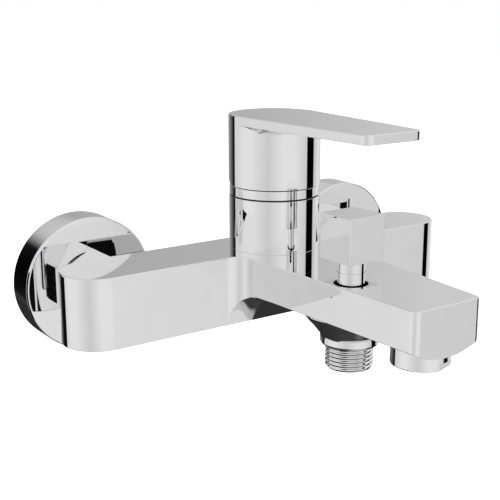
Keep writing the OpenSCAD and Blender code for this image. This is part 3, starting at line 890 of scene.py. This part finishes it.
def union_nut(side, name):
    """Hexagon nut with its corners turned off at both ends."""
    low, high = -NUT_HIGH.y, -NUT_LOW.y
    flat = 15.0
    corner = flat / math.cos(math.pi / 6)
    verts, faces = [], []
    block = [(corner * math.sin(TURN * i / 6), corner * math.cos(TURN * i / 6)) for i in range(6)]
    place = out_of_wall(side * INLET_X, 0)
    for h in (low, high):
        verts += [place(u, v, h) for u, v in block]
    faces = [list(range(6)), list(range(6, 12))]
    faces += [[i, (i + 1) % 6, (i + 1) % 6 + 6, i + 6] for i in range(6)]
    hexagon = scratch("union_nut_" + name, (verts, faces))
    end_r, wide_r = flat - 0.2, corner + 0.3
    outside = [(0, low), (end_r, low), (wide_r, low + 1.6), (wide_r, high - 1.6), (end_r, high), (0, high)]
    turned = lathe(outside, 96, place, closed=False)
    bore_r, mouth_r, shoulder = G_THREE_QUARTER_R + 0.05, 10.6, high - 1.7
    inside = [(0, low - 1), (bore_r, low - 1), (bore_r, shoulder), (mouth_r, shoulder), (mouth_r, high + 1)]
    inner = lathe(inside + [(0, high + 1)], 96, place, closed=False)
    combine(hexagon, ("INTERSECT", scratch("turned", turned)), ("DIFFERENCE", scratch("inner", inner)))
    return finish_piece(hexagon, "root", ["union_nut_" + name], 24)


for side, name in ((-1, "left"), (1, "right")):
    flange(side, name)
    union_nut(side, name)

# ---- Springs -------------------------------------------------------------------------------

# each coil is a copy of the CAD spring's own shape
SPRINGS = (("diverter_spring", "diverter_pull", True, 8), ("check_valve_spring", "check_open", False, 2.5))
for node, joint, seat_at_top, travel in SPRINGS:
    low, high = box_mm(node)
    source = frame["nodes"][node]
    coil = bpy.data.objects.new(node + "_coil", source.data.copy())
    bpy.context.scene.collection.objects.link(coil)
    coil.matrix_world = source.matrix_world
    coil.visible_glossy = False
    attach(coil, "root")
    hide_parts(node)
    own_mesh(coil)

# ---- Studio --------------------------------------------------------------------------------


def linear(grey):
    """A display grey from 0 to 255 as a linear brightness."""
    v = grey / 255
    return v / 12.92 if v <= 0.04045 else ((v + 0.055) / 1.055) ** 2.4


# greys of the studio's panels and flags, on a display scale from 0 to 255
LIGHT = 230
SOFT = 216
DIM = 205
BLACK = 2


def studio_world():
    """White for the camera; for reflections, panels with two black flags and a dark space low behind."""
    world = bpy.data.worlds.new("studio")
    bpy.context.scene.world = world
    world.use_nodes = True
    nodes, links = world.node_tree.nodes, world.node_tree.links
    nodes.clear()

    def math_node(operation, *values):
        node = nodes.new("ShaderNodeMath")
        node.operation = operation
        for socket, value in zip(node.inputs, values):
            if hasattr(value, "is_output"):
                links.new(value, socket)
            else:
                socket.default_value = value
        return node.outputs[0]

    def band(values, low, high, place):
        """A colour ramp over a range of degrees, from (degrees, grey) pairs."""
        fraction = math_node("DIVIDE", math_node("SUBTRACT", place, low), high - low)
        ramp = nodes.new("ShaderNodeValToRGB")
        elements = ramp.color_ramp.elements
        while len(elements) < len(values):
            elements.new(0.5)
        for element, (degrees, grey) in zip(elements, sorted(values)):
            element.position = (degrees - low) / (high - low)
            element.color = (linear(grey),) * 3 + (1,)
        links.new(fraction, ramp.inputs["Fac"])
        return ramp.outputs["Color"]

    direction = nodes.new("ShaderNodeTexCoord")
    axes = nodes.new("ShaderNodeSeparateXYZ")
    links.new(direction.outputs["Generated"], axes.inputs["Vector"])
    azimuth = math_node("DEGREES", math_node("ARCTAN2", axes.outputs["X"], axes.outputs["Y"]))
    height = math_node("DEGREES", math_node("ARCSINE", axes.outputs["Z"]))

    def blend(place, start, end, low, high):
        """Goes smoothly from one colour to another over a range of degrees."""
        step = nodes.new("ShaderNodeMapRange")
        step.interpolation_type = "SMOOTHSTEP"
        step.inputs["From Min"].default_value = start
        step.inputs["From Max"].default_value = end
        links.new(place, step.inputs["Value"])
        mix = nodes.new("ShaderNodeMix")
        mix.data_type = "RGBA"
        links.new(step.outputs["Result"], mix.inputs["Factor"])
        links.new(low, mix.inputs["A"])
        links.new(high, mix.inputs["B"])
        return mix.outputs["Result"]

    # round the horizon, clockwise from straight behind the wall
    soft_panel = [(-165, LIGHT), (-128, DIM), (-85, LIGHT)]
    left_panel = [(-60, LIGHT), (-40, SOFT), (-28.5, SOFT)]
    graded_panel = [(-27.3, BLACK), (-20, 20), (14, 163), (35, 180), (45, DIM), (78, LIGHT)]
    right_flag = [(93, DIM), (100, DIM), (102, BLACK), (126.5, BLACK), (128.2, DIM), (165, LIGHT)]
    walls = band(soft_panel + left_panel + graded_panel + right_flag, -180, 180, azimuth)
    overhead = [(-180, 226), (-90, 220), (-30, 205), (0, 200), (40, 205), (90, 225), (179, 226)]
    above = band(overhead, -180, 180, azimuth)
    front = band([(-90, 165), (-60, 190), (-25, 212), (0, 220), (89, 220)], -90, 90, height)
    behind = band([(-90, 66), (-60, 50), (-20, 44), (89, 44)], -90, 90, height)
    ground = blend(math_node("MULTIPLY", axes.outputs["Y"], 100.0), -16, 0, front, behind)
    lift = band([(-180, 0), (-28, 0), (-14, 255), (66, 255), (80, 0), (179, 0)], -180, 180, azimuth)
    lowered = math_node("SUBTRACT", height, math_node("MULTIPLY", lift, 10.0))
    surround = blend(height, 17, 28, blend(lowered, -34, -27, ground, walls), above)

    seen = nodes.new("ShaderNodeLightPath")
    studio = nodes.new("ShaderNodeBackground")
    links.new(surround, studio.inputs["Color"])
    backdrop = nodes.new("ShaderNodeBackground")
    backdrop.inputs["Color"].default_value = (1, 1, 1, 1)
    choose = nodes.new("ShaderNodeMixShader")
    output = nodes.new("ShaderNodeOutputWorld")
    links.new(seen.outputs["Is Camera Ray"], choose.inputs["Fac"])
    links.new(studio.outputs["Background"], choose.inputs[1])
    links.new(backdrop.outputs["Background"], choose.inputs[2])
    links.new(choose.outputs["Shader"], output.inputs["Surface"])


def pale_floor():
    """Plain white floor well below the wall mounted part."""
    size, drop = 6.0, -0.35
    mesh = bpy.data.meshes.new("floor")
    corners = [(-size, -size, drop), (size, -size, drop), (size, size, drop), (-size, size, drop)]
    mesh.from_pydata(corners, [], [(0, 1, 2, 3)])
    floor = bpy.data.objects.new("floor", mesh)
    bpy.context.scene.collection.objects.link(floor)
    material, shader = node_material("pale_floor", 0.0, 0.0)
    shader.inputs["Base Color"].default_value = (0.9, 0.9, 0.9, 1)
    shader.inputs["Roughness"].default_value = 1
    shader.inputs["Emission Color"].default_value = (1, 1, 1, 1)
    shader.inputs["Emission Strength"].default_value = 1.0
    mesh.materials.append(material)
    floor.visible_glossy = False


def wall_card():
    """Black cards, one low on the wall and one beside each flange, which only the chrome sees."""
    mesh = bpy.data.meshes.new("wall_card")
    half, behind, low, high = 0.06, 0.003, -0.03, -0.004
    corners = [(-half, behind, low), (half, behind, low), (half, behind, high), (-half, behind, high)]
    front, back, top = -0.034, -0.002, 0.012
    for side in (-0.118, 0.118):
        corners += [(side, front, low), (side, back, low), (side, back, top), (side, front, top)]
    mesh.from_pydata(corners, [], [(0, 1, 2, 3), (4, 5, 6, 7), (8, 9, 10, 11)])
    card = bpy.data.objects.new("wall_card", mesh)
    bpy.context.scene.collection.objects.link(card)
    material, shader = node_material("card_black", 0.0, 0.0)
    shader.inputs["Base Color"].default_value = (0.005, 0.005, 0.005, 1)
    shader.inputs["Roughness"].default_value = 1
    mesh.materials.append(material)
    card.visible_camera = False
    card.visible_diffuse = False
    card.visible_shadow = False


def camera():
    """Long lens from the left, a little above."""
    data = bpy.data.cameras.new("camera")
    data.sensor_width = 36
    data.lens = 71.38
    data.shift_x = -0.0107
    data.shift_y = -0.0057
    data.clip_start = 0.01
    data.clip_end = 20
    piece = bpy.data.objects.new("camera", data)
    bpy.context.scene.collection.objects.link(piece)
    piece.location = (-0.2640, -0.42232, 0.13004)
    piece.rotation_euler = (math.radians(90 - 14.322), 0, math.radians(-34.743))
    bpy.context.scene.camera = piece


studio_world()
pale_floor()
wall_card()
camera()
bpy.context.scene.view_settings.view_transform = "Standard"
